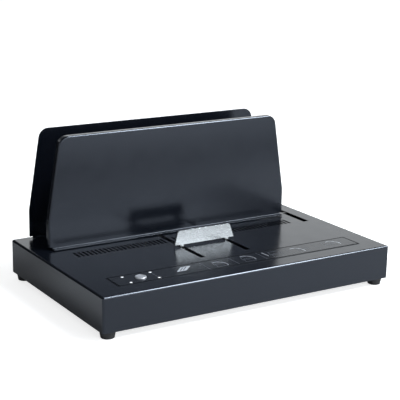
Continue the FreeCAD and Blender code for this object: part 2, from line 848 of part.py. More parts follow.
def power_rocker():
    bezel_y = (rear, rear + bezel_thick)
    bezel = block(around(rocker_x, bezel_width), bezel_y, around(rocker_level, bezel_height))
    body_y = (rear - rocker_body_depth, rear)
    body = block(around(rocker_x, rocker_body_width), body_y, around(rocker_level, rocker_body_height))
    face = rear + bezel_thick
    well_y = (face - rocker_well_depth, face + overrun)
    well = block(around(rocker_x, rocker_well_width), well_y, around(rocker_level, rocker_well_height))
    pivot_y = face - rocker_pivot_depth
    socket_x = around(rocker_x, rocker_width + 2 * rocker_pivot_length)
    socket = pin_across(socket_x, pivot_y, rocker_level, rocker_pivot_diameter + 2 * rocker_pivot_play)
    tails = [
        block(
            around(rocker_x, lug_tail_width),
            (body_y[0] - lug_tail_length, body_y[0]),
            around(rocker_level + step * rocker_body_height / 3, lug_tail_thick),
        )
        for step in (-1, 0, 1)
    ]
    add("rocker_housing", joined([bezel, body, *tails]).cut([well, socket]))
    profile = [
        (face + rocker_tip, rocker_level - rocker_reach, 0),
        (face + rocker_valley, rocker_level, 0),
        (face + rocker_tip, rocker_level + rocker_reach, 0),
        (face - rocker_heel, rocker_level + rocker_heel_reach, 0),
        (face - rocker_heel, rocker_level - rocker_heel_reach, 0),
    ]
    paddle = prism(profile, on_yz(rocker_x - rocker_width / 2), Vec(rocker_width, 0, 0))
    stub_x = around(rocker_x, rocker_width + 2 * (rocker_pivot_length - rocker_pivot_play))
    stubs = pin_across(stub_x, pivot_y, rocker_level, rocker_pivot_diameter)
    rocker = joined([paddle, stubs])
    rocker.rotate(Vec(rocker_x, pivot_y, rocker_level), Vec(1, 0, 0), -rocker_throw)
    add("mains_rocker", rocker)


top_cover()
base_pan()
feet()
plates()
slide_arms()
handle()
carriage()
guide_rods()
heater()
control_panel()
boards()
power_inlet()
power_rocker()

# The finished part's origin is the middle of its footprint, on the table
whole = Part.Compound(list(made.values())).BoundBox
middle = Vec(-whole.Center.x, -whole.Center.y, 0)
for name, shape in made.items():
    shape.translate(middle)
    shape.exportStep("parts/" + name + ".step")
    if not shape.isValid():
        print("not valid:", name)
print("moved by", middle, "size", whole.XLength, whole.YLength, whole.ZLength, "from", whole.ZMin)
print(len(made), "nodes,", sum(len(shape.Solids) for shape in made.values()), "solids")
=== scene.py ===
import bmesh
import bpy
import json
import math
from mathutils import Matrix, Vector


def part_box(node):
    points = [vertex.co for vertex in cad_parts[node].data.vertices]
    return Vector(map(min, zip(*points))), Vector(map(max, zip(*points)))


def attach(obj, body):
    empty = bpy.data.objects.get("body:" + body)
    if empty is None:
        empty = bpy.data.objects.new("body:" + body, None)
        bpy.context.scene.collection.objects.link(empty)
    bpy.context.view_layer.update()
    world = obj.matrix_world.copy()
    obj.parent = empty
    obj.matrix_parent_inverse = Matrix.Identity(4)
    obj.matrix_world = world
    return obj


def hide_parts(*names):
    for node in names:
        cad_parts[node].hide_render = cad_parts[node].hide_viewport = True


# Looks of a thermal binding machine: satin black folded steel, a brushed aluminium handle and a printed
# control strip. Metres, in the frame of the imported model: +X right, -Y towards the user, +Z up.

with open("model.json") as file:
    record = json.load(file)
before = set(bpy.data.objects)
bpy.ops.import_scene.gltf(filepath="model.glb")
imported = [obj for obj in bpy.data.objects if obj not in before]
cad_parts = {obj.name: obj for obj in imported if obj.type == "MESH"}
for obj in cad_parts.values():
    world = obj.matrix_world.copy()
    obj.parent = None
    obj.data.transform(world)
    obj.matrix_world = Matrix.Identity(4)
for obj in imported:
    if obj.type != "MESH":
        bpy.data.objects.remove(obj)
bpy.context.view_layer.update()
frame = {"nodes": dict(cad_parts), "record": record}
nodes = frame["nodes"]
top_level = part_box("top_cover")[1].z
mm = 0.001
scene = bpy.context.scene

# Camera, at the angle and distance of the photograph: metres and degrees, lens and sensor in millimetres
camera_place = (-0.776, -1.2466, 0.4985)
camera_azimuth = -31.91
camera_elevation = 14.80
camera_roll = 0.93
camera_lens = 105.06
camera_sensor = 36.0

# Upright plates
plate_sheet = 1.5 * mm
plate_taper = 17.5 * mm
plate_shoulder = 38 * mm
plate_shoulder_round = 60 * mm
plate_corner = 14 * mm
plate_fold = 0.35 * mm
plate_relief = 4.5 * mm
plate_step = 1 * mm
plate_rim = 8 * mm
plate_rim_round = 2.0 * mm
plate_deburr = 0.15 * mm

# Handle, its lean in degrees
handle_thick = 3.5 * mm
handle_gap = 3 * mm
handle_top_width = 79 * mm
handle_corner = 4 * mm
handle_lean = 5.0
handle_deburr = 0.5 * mm
leg_width = 5 * mm
leg_spacing = 68.5 * mm
leg_foot_length = 12 * mm
leg_foot_width = 9 * mm
leg_foot_thick = 2.5 * mm

# Button and lights
button_radius = 7 * mm
button_ring = 1.7 * mm
button_dish = 0.35 * mm
button_depth = 4.5 * mm
button_stem = 2.5 * mm
light_radius = 1.7 * mm
light_dome = 0.45 * mm

# Feet and the screws under the base
foot_top_radius = 10 * mm
foot_bottom_radius = 8.25 * mm
foot_recess_radius = 4.8 * mm
foot_recess_depth = 5 * mm
foot_bore_radius = 2.1 * mm
foot_round = 1.2 * mm
screw_radius = 2.8 * mm
screw_height = 1.5 * mm
screw_socket = 1.4 * mm
screw_socket_depth = 0.9 * mm
board_inset = 4 * mm
rod_foot_inset = (11 * mm, 5.5 * mm)

# Facets of what is round, and the angles in degrees above which an edge stays crisp or is broken
corner_steps = 10
bend_steps = 6
ring_steps = 12
dome_steps = 8
foot_round_steps = 5
stroke_steps = 14
button_facets = 64
light_facets = 32
foot_facets = 48
screw_facets = 24
mark_facets = 24
crisp_above = 40.0
deburr_above = 50.0
deburr_segments = 3
weld_distance = 0.001 * mm

# Grain of the finishes: the size of the patches, streaks and grains, and the height of the bumps
paint_tone_patch = 60 * mm
paint_gloss_patch = 18 * mm
paint_peel = 0.9 * mm
paint_peel_height = 0.006 * mm
moulded_tone_patch = 12 * mm
moulded_gloss_patch = 5 * mm
moulded_grain = 0.5 * mm
moulded_grain_height = 0.02 * mm
fibre_grain = 0.8 * mm
metal_tone_patch = 9 * mm
metal_streak = 0.6 * mm
metal_streak_height = 0.01 * mm
brush_line = 0.5 * mm
brush_line_height = 0.02 * mm
brush_grain = 0.9 * mm
ink_tone_patch = 1.5 * mm
ink_gloss_patch = 3 * mm
lacquer_tone_patch = 1.5 * mm
lacquer_gloss_patch = 0.8 * mm
lacquer_grain = 0.3 * mm
lacquer_grain_height = 0.004 * mm
guide_tone_patch = 0.8 * mm
guide_gloss_patch = 0.6 * mm

# Gloss of the paint, and the shares of a noise and of a colour that the patches use
paint_tint = (0.81, 0.87, 1.0)
paint_gloss = 0.55
noise_middle = (0.3, 0.7)
darker_share = 0.9

# Studio, in metres, watts and degrees above the horizon
room_fill = 0.3
room_fill_colour = (0.94, 0.97, 1.0)
room_fade = (18.0, 27.0)
room_ceiling = 0.06
room_mirrored = 1.2
room_mirrored_colour = (0.96, 0.99, 1.0)
room_white = (1.0, 1.0, 1.0)
floor_size = 12.0
floor_tone = 0.8
floor_patch = 0.5
floor_patch_share = 0.98
floor_rough = 0.9
floor_glow = 0.75
light_target = (0.0, 0.0, 0.05)
light_colour = (0.89, 0.955, 1.0)
key_place = (1.175, -0.93, 1.8)
key_size = (1.3, 1.2)
key_power = 55.0
glint_share = 0.95
glint_size = (1.1, 0.85)
glint_radiance = 36.0
front_place = (0.45, -1.35, 0.4)
front_size = (0.9, 0.5)
front_power = 6.8
floor_flag_place = (0.3, -0.54, 0.002)
floor_flag_target = (0.3, -0.54, 1.0)
floor_flag_size = (1.1, 0.24)
floor_flag_radiance = 0.4
left_flag_place = (-0.44, 0.42, 0.17)
left_flag_target = (-0.2, 0.05, 0.17)
left_flag_size = (0.7, 0.33)
rear_flag_place = (-0.46, 0.46, 0.002)
rear_flag_target = (-0.46, 0.46, 1.0)
rear_flag_size = (0.34, 0.44)

# Print on the control strip, and a painted shade line just inside its edges
print_thick = 0.03 * mm
line_fine = 0.5 * mm
line_bold = 1.0 * mm
# painted shade: the matte dark line just inside the film's edges stands for the shade along the film's edge
edge_shade_inset = 1.6 * mm
edge_shade_width = 1.7 * mm
line_mitre = 0.3
cell_count = 6
cell_start = 85.5 * mm
cell_pitch = 42.5 * mm
cell_inset = 3.5 * mm
page_size = (14 * mm, 13 * mm)
page_skew = 1.0
page_line = 1.0 * mm
page_line_shares = (0.3, 0.6)
page_line_ends = (0.15, 0.85)
page_shift = (-7 * mm, 3 * mm)
sheet_size = (15 * mm, 11 * mm)
sheet_skew = 0.25
sheet_lifts = (-sheet_size[1] / 2, sheet_size[1] / 4)
arrow_radius = (11 * mm, 12.5 * mm)
arrow_angles = (105.0, -20.0)
arrow_places = {1: (-3 * mm, -6 * mm), 2: (-2 * mm, -2 * mm), 4: (-12 * mm, -5 * mm), 5: (5 * mm, -3 * mm)}
stroke_start = (-cell_pitch / 3, sheet_size[1])
stroke_run = (line_bold, -sheet_size[0])
light_line_inset = 3 * light_radius

# Marks on the mains rocker
mark_height = 4 * mm
mark_width = 0.7 * mm
mark_face_turn = 0.8


def srgb(red, green, blue):
    """Linear colour from the red, green and blue that show on a screen."""
    shown = (red / 255, green / 255, blue / 255)
    return tuple(c / 12.92 if c <= 0.04045 else ((c + 0.055) / 1.055) ** 2.4 for c in shown)


class Finish:
    """Node material with its shader, and short calls for what varies over the surface."""

    def __init__(self, name, colour, roughness, metallic=0.0):
        self.material = bpy.data.materials.new(name)
        self.material.use_nodes = True
        self.tree = self.material.node_tree
        self.shader = self.tree.nodes["Principled BSDF"]
        self.set("Base Color", (*colour, 1.0))
        self.set("Roughness", roughness)
        self.set("Metallic", metallic)
        self.colour = colour
        self.place = self.node("ShaderNodeTexCoord").outputs["Object"]

    def node(self, kind, **values):
        """New node of a kind, with values set on it."""
        made = self.tree.nodes.new(kind)
        for key, value in values.items():
            setattr(made, key, value)
        return made

    def set(self, socket, value):
        """Set one of the shader's sockets."""
        self.shader.inputs[socket].default_value = value

    def link(self, source, target):
        """Join two sockets."""
        self.tree.links.new(source, target)

    def stretched(self, stretch):
        """Object coordinates squeezed along each axis, so that a noise turns into streaks."""
        mapping = self.node("ShaderNodeMapping")
        mapping.inputs["Scale"].default_value = stretch
        self.link(self.place, mapping.inputs["Vector"])
        return mapping.outputs["Vector"]

    def noise(self, size, detail=2.0, stretch=(1.0, 1.0, 1.0)):
        """Noise whose blotches are about as large as size, in metres."""
        noise = self.node("ShaderNodeTexNoise")
        noise.inputs["Scale"].default_value = 1 / size
        noise.inputs["Detail"].default_value = detail
        self.link(self.stretched(stretch), noise.inputs["Vector"])
        return noise.outputs["Fac"]

    def between(self, factor, low, high):
        """The factor's middle range spread from low to high."""
        spread = self.node("ShaderNodeMapRange")
        spread.inputs["From Min"].default_value = noise_middle[0]
        spread.inputs["From Max"].default_value = noise_middle[1]
        spread.inputs["To Min"].default_value = low
        spread.inputs["To Max"].default_value = high
        self.link(factor, spread.inputs["Value"])
        return spread.outputs["Result"]

    def rough(self, factor, low, high):
        """Roughness that drifts between two values."""
        self.link(self.between(factor, low, high), self.shader.inputs["Roughness"])

    def mottle(self, factor, other):
        """Base colour that drifts between the finish's own and another."""
        mix = self.node("ShaderNodeMix", data_type="RGBA")
        mix.inputs["A"].default_value = (*self.colour, 1.0)
        mix.inputs["B"].default_value = (*other, 1.0)
        self.link(self.between(factor, 0.0, 1.0), mix.inputs["Factor"])
        self.link(mix.outputs["Result"], self.shader.inputs["Base Color"])

    def bump(self, factor, height, strength):
        """Relief of a height in metres."""
        bump = self.node("ShaderNodeBump")
        bump.inputs["Distance"].default_value = height
        bump.inputs["Strength"].default_value = strength
        self.link(factor, bump.inputs["Height"])
        self.link(bump.outputs["Normal"], self.shader.inputs["Normal"])


def paint(name, colour, other, rough):
    """Baked powder paint: satin, with a very fine orange peel."""
    made = Finish(name, colour, rough[0])
    made.mottle(made.noise(paint_tone_patch), other)
    made.rough(made.noise(paint_gloss_patch, detail=4.0), *rough)
    made.bump(made.noise(paint_peel), paint_peel_height, strength=0.5)
    made.set("Specular Tint", (*paint_tint, 1.0))
    made.set("Specular IOR Level", paint_gloss)
    return made.material


def moulded(name, colour, other, rough, grain=moulded_grain):
    """Moulded plastic or rubber with a fine spark-eroded grain."""
    made = Finish(name, colour, rough[0])
    made.mottle(made.noise(moulded_tone_patch), other)
    made.rough(made.noise(moulded_gloss_patch, detail=3.0), *rough)
    made.bump(made.noise(grain, detail=3.0), moulded_grain_height, strength=0.6)
    return made.material


def bare_metal(name, colour, other, rough, stretch):
    """Metal with the streaks of its rolling, grinding or plating."""
    made = Finish(name, colour, rough[0], metallic=1.0)
    streaks = made.noise(metal_streak, detail=4.0, stretch=stretch)
    made.mottle(made.noise(metal_tone_patch, detail=3.0), other)
    made.rough(streaks, *rough)
    made.bump(streaks, metal_streak_height, strength=0.5)
    return made.material


def brushed(name, colour, other, rough):
    """Aluminium brushed along X, with short scratches and a little grain."""
    made = Finish(name, colour, roughness=0.25, metallic=1.0)
    lines = made.noise(brush_line, detail=5.0, stretch=(0.06, 1.0, 1.0))
    grain = made.noise(brush_grain, detail=3.0, stretch=(0.3, 1.0, 1.0))
    made.mottle(grain, other)
    made.rough(lines, *rough)
    made.bump(lines, brush_line_height, strength=0.7)
    made.set("Anisotropic", 0.3)
    return made.material


def printed(name, colour, roughness, gloss):
    """Flat printing ink; the dark one also serves for the painted shade line along the control strip's edges.
    """
    made = Finish(name, colour, roughness)
    made.set("Specular IOR Level", gloss)
    made.mottle(made.noise(ink_tone_patch), tuple(darker_share * c for c in colour))
    made.rough(made.noise(ink_gloss_patch), darker_share * roughness, roughness)
    return made.material


def lacquered(name, colour, other, rough):
    """Silver lacquer over a moulding."""
    made = Finish(name, colour, roughness=0.35, metallic=0.5)
    made.mottle(made.noise(lacquer_tone_patch, detail=3.0), other)
    made.rough(made.noise(lacquer_gloss_patch), *rough)
    made.bump(made.noise(lacquer_grain), lacquer_grain_height, strength=0.5)
    return made.material


def glowing(name, colour, rough, strength):
    """Milky light guide that is lit from inside."""
    made = Finish(name, colour, roughness=0.25)
    made.mottle(made.noise(guide_tone_patch), tuple(darker_share * c for c in colour))
    made.rough(made.noise(guide_gloss_patch), *rough)
    made.set("Emission Color", (*colour, 1.0))
    made.set("Emission Strength", strength)
    return made.material


def make_finishes():
    """One material for each material slot of the record, and the three printing inks; the dark ink also draws
    the painted shade line along the control strip's edges.
    """
    return {
        "black_paint": paint(
            "black_paint_satin", colour=(0.0042, 0.0055, 0.0092), other=(0.0048, 0.0062, 0.0102),
            rough=(0.17, 0.21),
        ),
        "dark_sheet": paint(
            "dark_sheet_paint", colour=srgb(22, 26, 33), other=srgb(26, 29, 34), rough=(0.35, 0.45),
        ),
        # painted shade: the plated steel is made nearly black, so that the deck seen through the vents shows
        # as the shade inside the cover; the screws under the base share this finish
        "plated_steel": bare_metal(
            "zinc_darkened_as_vent_shade", colour=(0.07, 0.07, 0.075), other=(0.05, 0.05, 0.055),
            rough=(0.3, 0.42), stretch=(1, 1, 0.3),
        ),
        "ground_rod": bare_metal(
            "ground_steel", colour=(0.72, 0.73, 0.75), other=(0.66, 0.67, 0.7),
            rough=(0.1, 0.16), stretch=(1, 12, 1),
        ),
        "brushed_aluminium": brushed(
            "aluminium_brushed", colour=(0.475, 0.49, 0.50), other=(0.415, 0.43, 0.44), rough=(0.18, 0.3),
        ),
        "heater_aluminium": bare_metal(
            "heater_plate", colour=(0.55, 0.54, 0.52), other=(0.42, 0.38, 0.34),
            rough=(0.3, 0.45), stretch=(0.05, 1, 1),
        ),
        "trough_steel": bare_metal(
            "trough_sheet", colour=(0.45, 0.46, 0.47), other=(0.36, 0.37, 0.39),
            rough=(0.35, 0.5), stretch=(0.1, 1, 1),
        ),
        "foot_rubber": moulded(
            "foot_rubber_matte", colour=srgb(24, 24, 26), other=srgb(32, 32, 34), rough=(0.55, 0.7),
        ),
        "overlay_film": paint(
            "overlay_film_satin", colour=(0.0056, 0.0068, 0.0102), other=(0.0062, 0.0076, 0.0112),
            rough=(0.21, 0.26),
        ),
        "button_plastic": lacquered(
            "button_silver", colour=(0.62, 0.63, 0.67), other=(0.54, 0.55, 0.59), rough=(0.3, 0.4),
        ),
        "bearing_plastic": moulded(
            "acetal_natural", colour=srgb(225, 222, 210), other=srgb(216, 212, 200), rough=(0.35, 0.45),
        ),
        "black_plastic": moulded(
            "black_plastic_grained", colour=srgb(28, 28, 30), other=srgb(34, 34, 36), rough=(0.4, 0.55),
        ),
        "light_plastic": glowing(
            "light_guide_milky", colour=(0.86, 0.88, 0.92), rough=(0.2, 0.3), strength=0.6,
        ),
        "board_laminate": moulded(
            "board_green", colour=srgb(22, 88, 52), other=srgb(18, 74, 44), rough=(0.3, 0.4),
        ),
        "insulation_fibre": moulded(
            "mineral_fibre", colour=srgb(226, 220, 204), other=srgb(205, 198, 180),
            rough=(0.85, 0.95), grain=fibre_grain,
        ),
        "element_mica": moulded(
            "mica_sheet", colour=srgb(170, 140, 96), other=srgb(140, 112, 72), rough=(0.3, 0.45),
        ),
        "sensor_ceramic": moulded(
            "ceramic_cream", colour=srgb(222, 214, 196), other=srgb(210, 200, 180), rough=(0.4, 0.5),
        ),
        "contact_brass": bare_metal(
            "nickel_brass", colour=(0.74, 0.68, 0.52), other=(0.66, 0.6, 0.45),
            rough=(0.2, 0.3), stretch=(1, 0.2, 1),
        ),
        "core_steel": bare_metal(
            "lamination_steel", colour=(0.25, 0.24, 0.23), other=(0.18, 0.17, 0.17),
            rough=(0.4, 0.55), stretch=(1, 0.1, 1),
        ),
        "component_plastic": moulded(
            "component_plastic_grey", colour=srgb(196, 192, 182), other=srgb(184, 180, 170), rough=(0.4, 0.5),
        ),
        "print_light": printed("print_light", colour=srgb(200, 204, 212), roughness=0.45, gloss=0.5),
        "print_grey": printed("print_grey", colour=srgb(86, 90, 100), roughness=0.45, gloss=0.5),
        # dark ink for the writing on the page, and for the painted shade line just inside the strip's edges
        "print_dark_and_edge_shade": printed("print_dark_and_edge_shade", colour=srgb(4, 5, 7), roughness=0.6, gloss=0.05),
    }


def dress_nodes(finishes):
    """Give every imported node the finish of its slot."""
    for part in frame["record"]["subparts"]:
        node = nodes[part["node"]]
        node.data.materials.clear()
        node.data.materials.append(finishes[part["material_slot"]])


def keep(name, bm, body, material, replaces=()):
    """Turn a finished bmesh into a piece that rides on a body."""
    bmesh.ops.recalc_face_normals(bm, faces=bm.faces)
    mesh = bpy.data.meshes.new(name)
    bm.to_mesh(mesh)
    bm.free()
    piece = bpy.data.objects.new(name, mesh)
    scene.collection.objects.link(piece)
    mesh.materials.append(material)
    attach(piece, body)
    if replaces:
        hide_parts(*replaces)
    return piece


def smooth(piece):
    """Shade all faces as one round surface, apart from the edges marked sharp."""
    mesh = piece.data
    mesh.polygons.foreach_set("use_smooth", [True] * len(mesh.polygons))
    weighted = piece.modifiers.new("weighted_normals", "WEIGHTED_NORMAL")
    weighted.keep_sharp = True


def shade(piece):
    """Smooth faces, with the steeper edges kept crisp."""
    smooth(piece)
    piece.data.set_sharp_from_angle(angle=math.radians(crisp_above))


def thicken(piece, thickness, deburr):
    """Give a sheet its thickness behind the modelled face, which looks to the user, and break its edges."""
    if piece.data.polygons[0].normal.y > 0:
        piece.data.flip_normals()
    solid = piece.modifiers.new("thickness", "SOLIDIFY")
    solid.thickness = thickness
    solid.offset = -1.0
    bevel = piece.modifiers.new("edges", "BEVEL")
    bevel.width = deburr
    bevel.segments = deburr_segments
    bevel.limit_method = "ANGLE"
    bevel.angle_limit = math.radians(deburr_above)
    smooth(piece)


def rounded(corners):
    """Points of an outline whose (u, v, radius) corners are rounded."""
    points = []
    count = len(corners)
    for i, (u, v, radius) in enumerate(corners):
        here = Vector((u, v))
        if radius == 0:
            points.append(here)
            continue
        back = (Vector(corners[i - 1][:2]) - here).normalized()
        ahead = (Vector(corners[(i + 1) % count][:2]) - here).normalized()
        half = back.angle(ahead) / 2
        centre = here + (back + ahead).normalized() * (radius / math.sin(half))
        start = here + back * (radius / math.tan(half)) - centre
        finish = here + ahead * (radius / math.tan(half)) - centre
        turn = start.angle_signed(finish)
        for k in range(corner_steps + 1):
            points.append(centre + start @ Matrix.Rotation(turn * k / corner_steps, 2))
    return points


def lathe(bm, profile, centre, facets):
    """Turn a closed or open (radius, height) profile about an upright axis; a radius of 0 makes a pole."""
    rings = []
    for radius, height in profile:
        if radius == 0:
            rings.append([bm.verts.new((centre[0], centre[1], height))])
            continue
        ring = []
        for k in range(facets):
            turn = math.tau * k / facets
            ring.append(bm.verts.new((
                centre[0] + radius * math.cos(turn),
                centre[1] + radius * math.sin(turn),
                height,
            )))
        rings.append(ring)
    for low, high in zip(rings, rings[1:]):
        for k in range(facets):
            after = (k + 1) % facets
            if len(low) == 1:
                bm.faces.new((low[0], high[k], high[after]))
            elif len(high) == 1:
                bm.faces.new((low[k], high[0], low[after]))
            else:
                bm.faces.new((low[k], high[k], high[after], low[after]))
    return rings


def box_of(bm, low, high):
    """Closed box between two corners."""
    middle = (Vector(low) + Vector(high)) / 2
    size = Vector(high) - Vector(low)
    matrix = Matrix.Translation(middle) @ Matrix.Diagonal((*size, 1.0))
    bmesh.ops.create_cube(bm, size=1.0, matrix=matrix)


def corners_of(node, inset_x, inset_y):
    """Four places inside a node's box as seen from above: front left, rear left, front right, rear right."""
    low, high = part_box(node)
    return [
        (x, y)
        for x in (low.x + inset_x, high.x - inset_x)
        for y in (low.y + inset_y, high.y - inset_y)
    ]


def quarter_turn(steps):
    """Angles of a quarter turn, without its start."""
    return [math.pi / 2 * k / steps for k in range(1, steps + 1)]


def join_rows(bm, row, after):
    """Faces between two rows of as many points; the second row is handed on."""
    for a, b, c, d in zip(row, row[1:], after[1:], after):
        bm.faces.new((a, b, c, d))
    return after


def strip(bm, row, y, z):
    """One more band of a bend, from a row of points to the next."""
    return join_rows(bm, row, [bm.verts.new((vert.co.x, y, z)) for vert in row])


def upright_plate(node, body, material, rim):
    """Sheet with rounded upper corners, its foot folded towards the user; a rim is its edge turned back."""
    low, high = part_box(node)
    face = high.y - (rim or plate_sheet)
    bend_top = low.z + plate_sheet + plate_fold
    foot_level = bend_top + plate_step
    bm = bmesh.new()

    def edge_row(inset, y):
        """Points up the right side, over the top and down the left side."""
        left, right, crest = low.x + inset, high.x - inset, high.z - inset
        shoulder = top_level + plate_shoulder
        points = rounded([
            (left, foot_level, 0),
            (right, foot_level, 0),
            (right, shoulder, plate_shoulder_round - inset),
            (right - plate_taper, crest, plate_corner - inset),
            (left + plate_taper, crest, plate_corner - inset),
            (left, shoulder, plate_shoulder_round - inset),
        ])
        return [bm.verts.new((u, y, v)) for u, v in points[1:] + points[:1]]

    bend = plate_rim_round if rim else 0
    row = edge_row(bend, face)
    foot_x = (low.x + plate_relief, high.x - plate_relief)
    foot = [
        bm.verts.new((foot_x[0], face, foot_level)),
        bm.verts.new((foot_x[0], face, bend_top)),
        bm.verts.new((foot_x[1], face, bend_top)),
        bm.verts.new((foot_x[1], face, foot_level)),
    ]
    bm.faces.new(row + foot)
    if rim:
        for turn in quarter_turn(bend_steps):
            inset = bend * (1 - math.sin(turn))
            row = join_rows(bm, row, edge_row(inset, face + bend * (1 - math.cos(turn))))
        join_rows(bm, row, edge_row(0, high.y))
    pair = foot[1:3]
    for turn in quarter_turn(bend_steps):
        y = face - plate_fold * (1 - math.cos(turn))
        pair = strip(bm, pair, y, bend_top - plate_fold * math.sin(turn))
    strip(bm, pair, low.y, low.z + plate_sheet)
    piece = keep(node + "_folded", bm, body, material, [node])
    thicken(piece, plate_sheet, plate_deburr)


def make_handle(material):
    """Grip plate and its two legs, cut from one thick sheet; the grip leans back."""
    low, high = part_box("handle")
    middle = (low.x + high.x) / 2
    rear = low.y + leg_foot_length
    front = rear - handle_thick
    bottom = top_level + handle_gap
    lean = math.radians(handle_lean)
    height = (high.z - bottom) / math.cos(lean) - handle_deburr
    legs = [middle - leg_spacing / 2, middle + leg_spacing / 2]
    corners = [(low.x, 0, 0)]
    for x in legs:
        corners += [(x - leg_width / 2, 0, 0), (x + leg_width / 2, 0, 0)]
    corners += [
        (high.x, 0, 0),
        (middle + handle_top_width / 2, height, handle_corner),
        (middle - handle_top_width / 2, height, handle_corner),
    ]
    bm = bmesh.new()
    grip = [
        bm.verts.new((u, front + v * math.sin(lean), bottom + v * math.cos(lean)))
        for u, v in rounded(corners)
    ]
    bm.faces.new(grip)
    for leg_top in (grip[1:3], grip[3:5]):
        strip(bm, leg_top, front, low.z)
    piece = keep("handle_brushed", bm, "carriage", material, ["handle"])
    thicken(piece, handle_thick, handle_deburr)
    bm = bmesh.new()
    for x in legs:
        half = leg_foot_width / 2
        box_of(bm, (x - half, rear - leg_foot_length, low.z), (x + half, front, low.z + leg_foot_thick))
    keep("handle_feet", bm, "carriage", material)


def make_button(finishes):
    """Silver cap whose edge swells into a ring round a shallow dish, on a stem."""
    low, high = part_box("start_button")
    centre = ((low.x + high.x) / 2, (low.y + high.y) / 2)
    swell = button_ring / 2
    inner = button_radius - button_ring
    bottom = high.z - button_depth
    profile = [(0, high.z - button_dish), (inner, high.z - button_dish)]
    for turn in ring_turns():
        profile.append((
            button_radius - swell - swell * math.cos(turn),
            high.z - swell * (1 - math.sin(turn)),
        ))
    profile += [(button_radius, bottom), (button_stem, bottom), (button_stem, low.z), (0, low.z)]
    bm = bmesh.new()
    lathe(bm, profile, centre, button_facets)
    material = finishes["button_plastic"]
    shade(keep("start_button_cap", bm, "start_button", material, ["start_button"]))


def ring_turns():
    """Angles of the upper part of a half turn, from the dish's edge to the outside."""
    first = math.asin(1 - 2 * button_dish / button_ring)
    return [first + (math.pi - first) * k / ring_steps for k in range(1, ring_steps + 1)]


def make_lights(finishes):
    """Four light guides with domed tips."""
    low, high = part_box("light_pipes")
    profile = [(0, high.z)]
    for turn in quarter_turn(dome_steps):
        profile.append((light_radius * math.sin(turn), high.z - light_dome * (1 - math.cos(turn))))
    profile += [(light_radius, low.z), (0, low.z)]
    bm = bmesh.new()
    for place in corners_of("light_pipes", light_radius, light_radius):
        lathe(bm, profile, place, light_facets)
    shade(keep("light_guides", bm, "root", finishes["light_plastic"], ["light_pipes"]))


def make_feet(finishes):
    """Four moulded feet with a rounded rim and a screw recess."""
    low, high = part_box("rubber_feet")
    slope = (foot_top_radius - foot_bottom_radius) / (high.z - low.z)
    profile = [
        (foot_bore_radius, high.z),
        (foot_bore_radius, low.z + foot_recess_depth),
        (foot_recess_radius, low.z + foot_recess_depth),
        (foot_recess_radius, low.z),
    ]
    for turn in [0, *quarter_turn(foot_round_steps)]:
        profile.append((
            foot_bottom_radius - foot_round + foot_round * math.sin(turn) + slope * foot_round,
            low.z + foot_round * (1 - math.cos(turn)),
        ))
    profile += [(foot_top_radius, high.z), (foot_bore_radius, high.z)]
    bm = bmesh.new()
    for place in corners_of("rubber_feet", foot_top_radius, foot_top_radius):
        lathe(bm, profile, place, foot_facets)
    bmesh.ops.remove_doubles(bm, verts=bm.verts, dist=weld_distance)
    shade(keep("feet_moulded", bm, "root", finishes["foot_rubber"], ["rubber_feet"]))


def ribbon(bm, points, width, level, closed=False):
    """Raised line of one width along points, for print and for the painted shade line, with four corners at
    each: two below and two above.
    """
    count = len(points)
    sides = []
    for i, here in enumerate(points):
        before = points[i - 1] if i or closed else here
        after = points[(i + 1) % count] if i < count - 1 or closed else here
        back = (here - before).normalized() if here != before else (after - here).normalized()
        ahead = (after - here).normalized() if here != after else back
        along = (back + ahead).normalized()
        across = Vector((-along.y, along.x)) * (width / 2 / max(line_mitre, along.dot(ahead)))
        sides.append((here - across, here + across))
    verts = []
    for pair in sides:
        verts.append([bm.verts.new((*p, z)) for z in (level, level + print_thick) for p in pair])
    spans = range(count) if closed else range(count - 1)
    for i in spans:
        a, b = verts[i], verts[(i + 1) % count]
        bm.faces.new((a[2], a[3], b[3], b[2]))
        bm.faces.new((a[0], b[0], b[1], a[1]))
        bm.faces.new((a[0], a[2], b[2], b[0]))
        bm.faces.new((a[1], b[1], b[3], a[3]))
    if not closed:
        for end in (verts[0], verts[-1]):
            bm.faces.new((end[0], end[1], end[3], end[2]))


def patch(bm, points, level):
    """Printed area inside an outline."""
    low = [bm.verts.new((*p, level)) for p in points]
    high = [bm.verts.new((*p, level + print_thick)) for p in points]
    bm.faces.new(low)
    bm.faces.new(high)
    for i in range(len(points)):
        j = (i + 1) % len(points)
        bm.faces.new((low[i], low[j], high[j], high[i]))


def arc(centre, radius, start, finish, steps):
    """Points on an arc between two angles in degrees; the radius is a (u, v) pair."""
    points = []
    for k in range(steps + 1):
        turn = math.radians(start + (finish - start) * k / steps)
        points.append(Vector((
            centre[0] + radius[0] * math.cos(turn),
            centre[1] + radius[1] * math.sin(turn),
        )))
    return points


def slanted(centre, size, skew):
    """Corners of a rectangle that leans to the right."""
    half = Vector(size) / 2
    return [
        centre + Vector((u * half.x + v * half.y * skew, v * half.y))
        for u, v in ((-1, -1), (1, -1), (1, 1), (-1, 1))
    ]


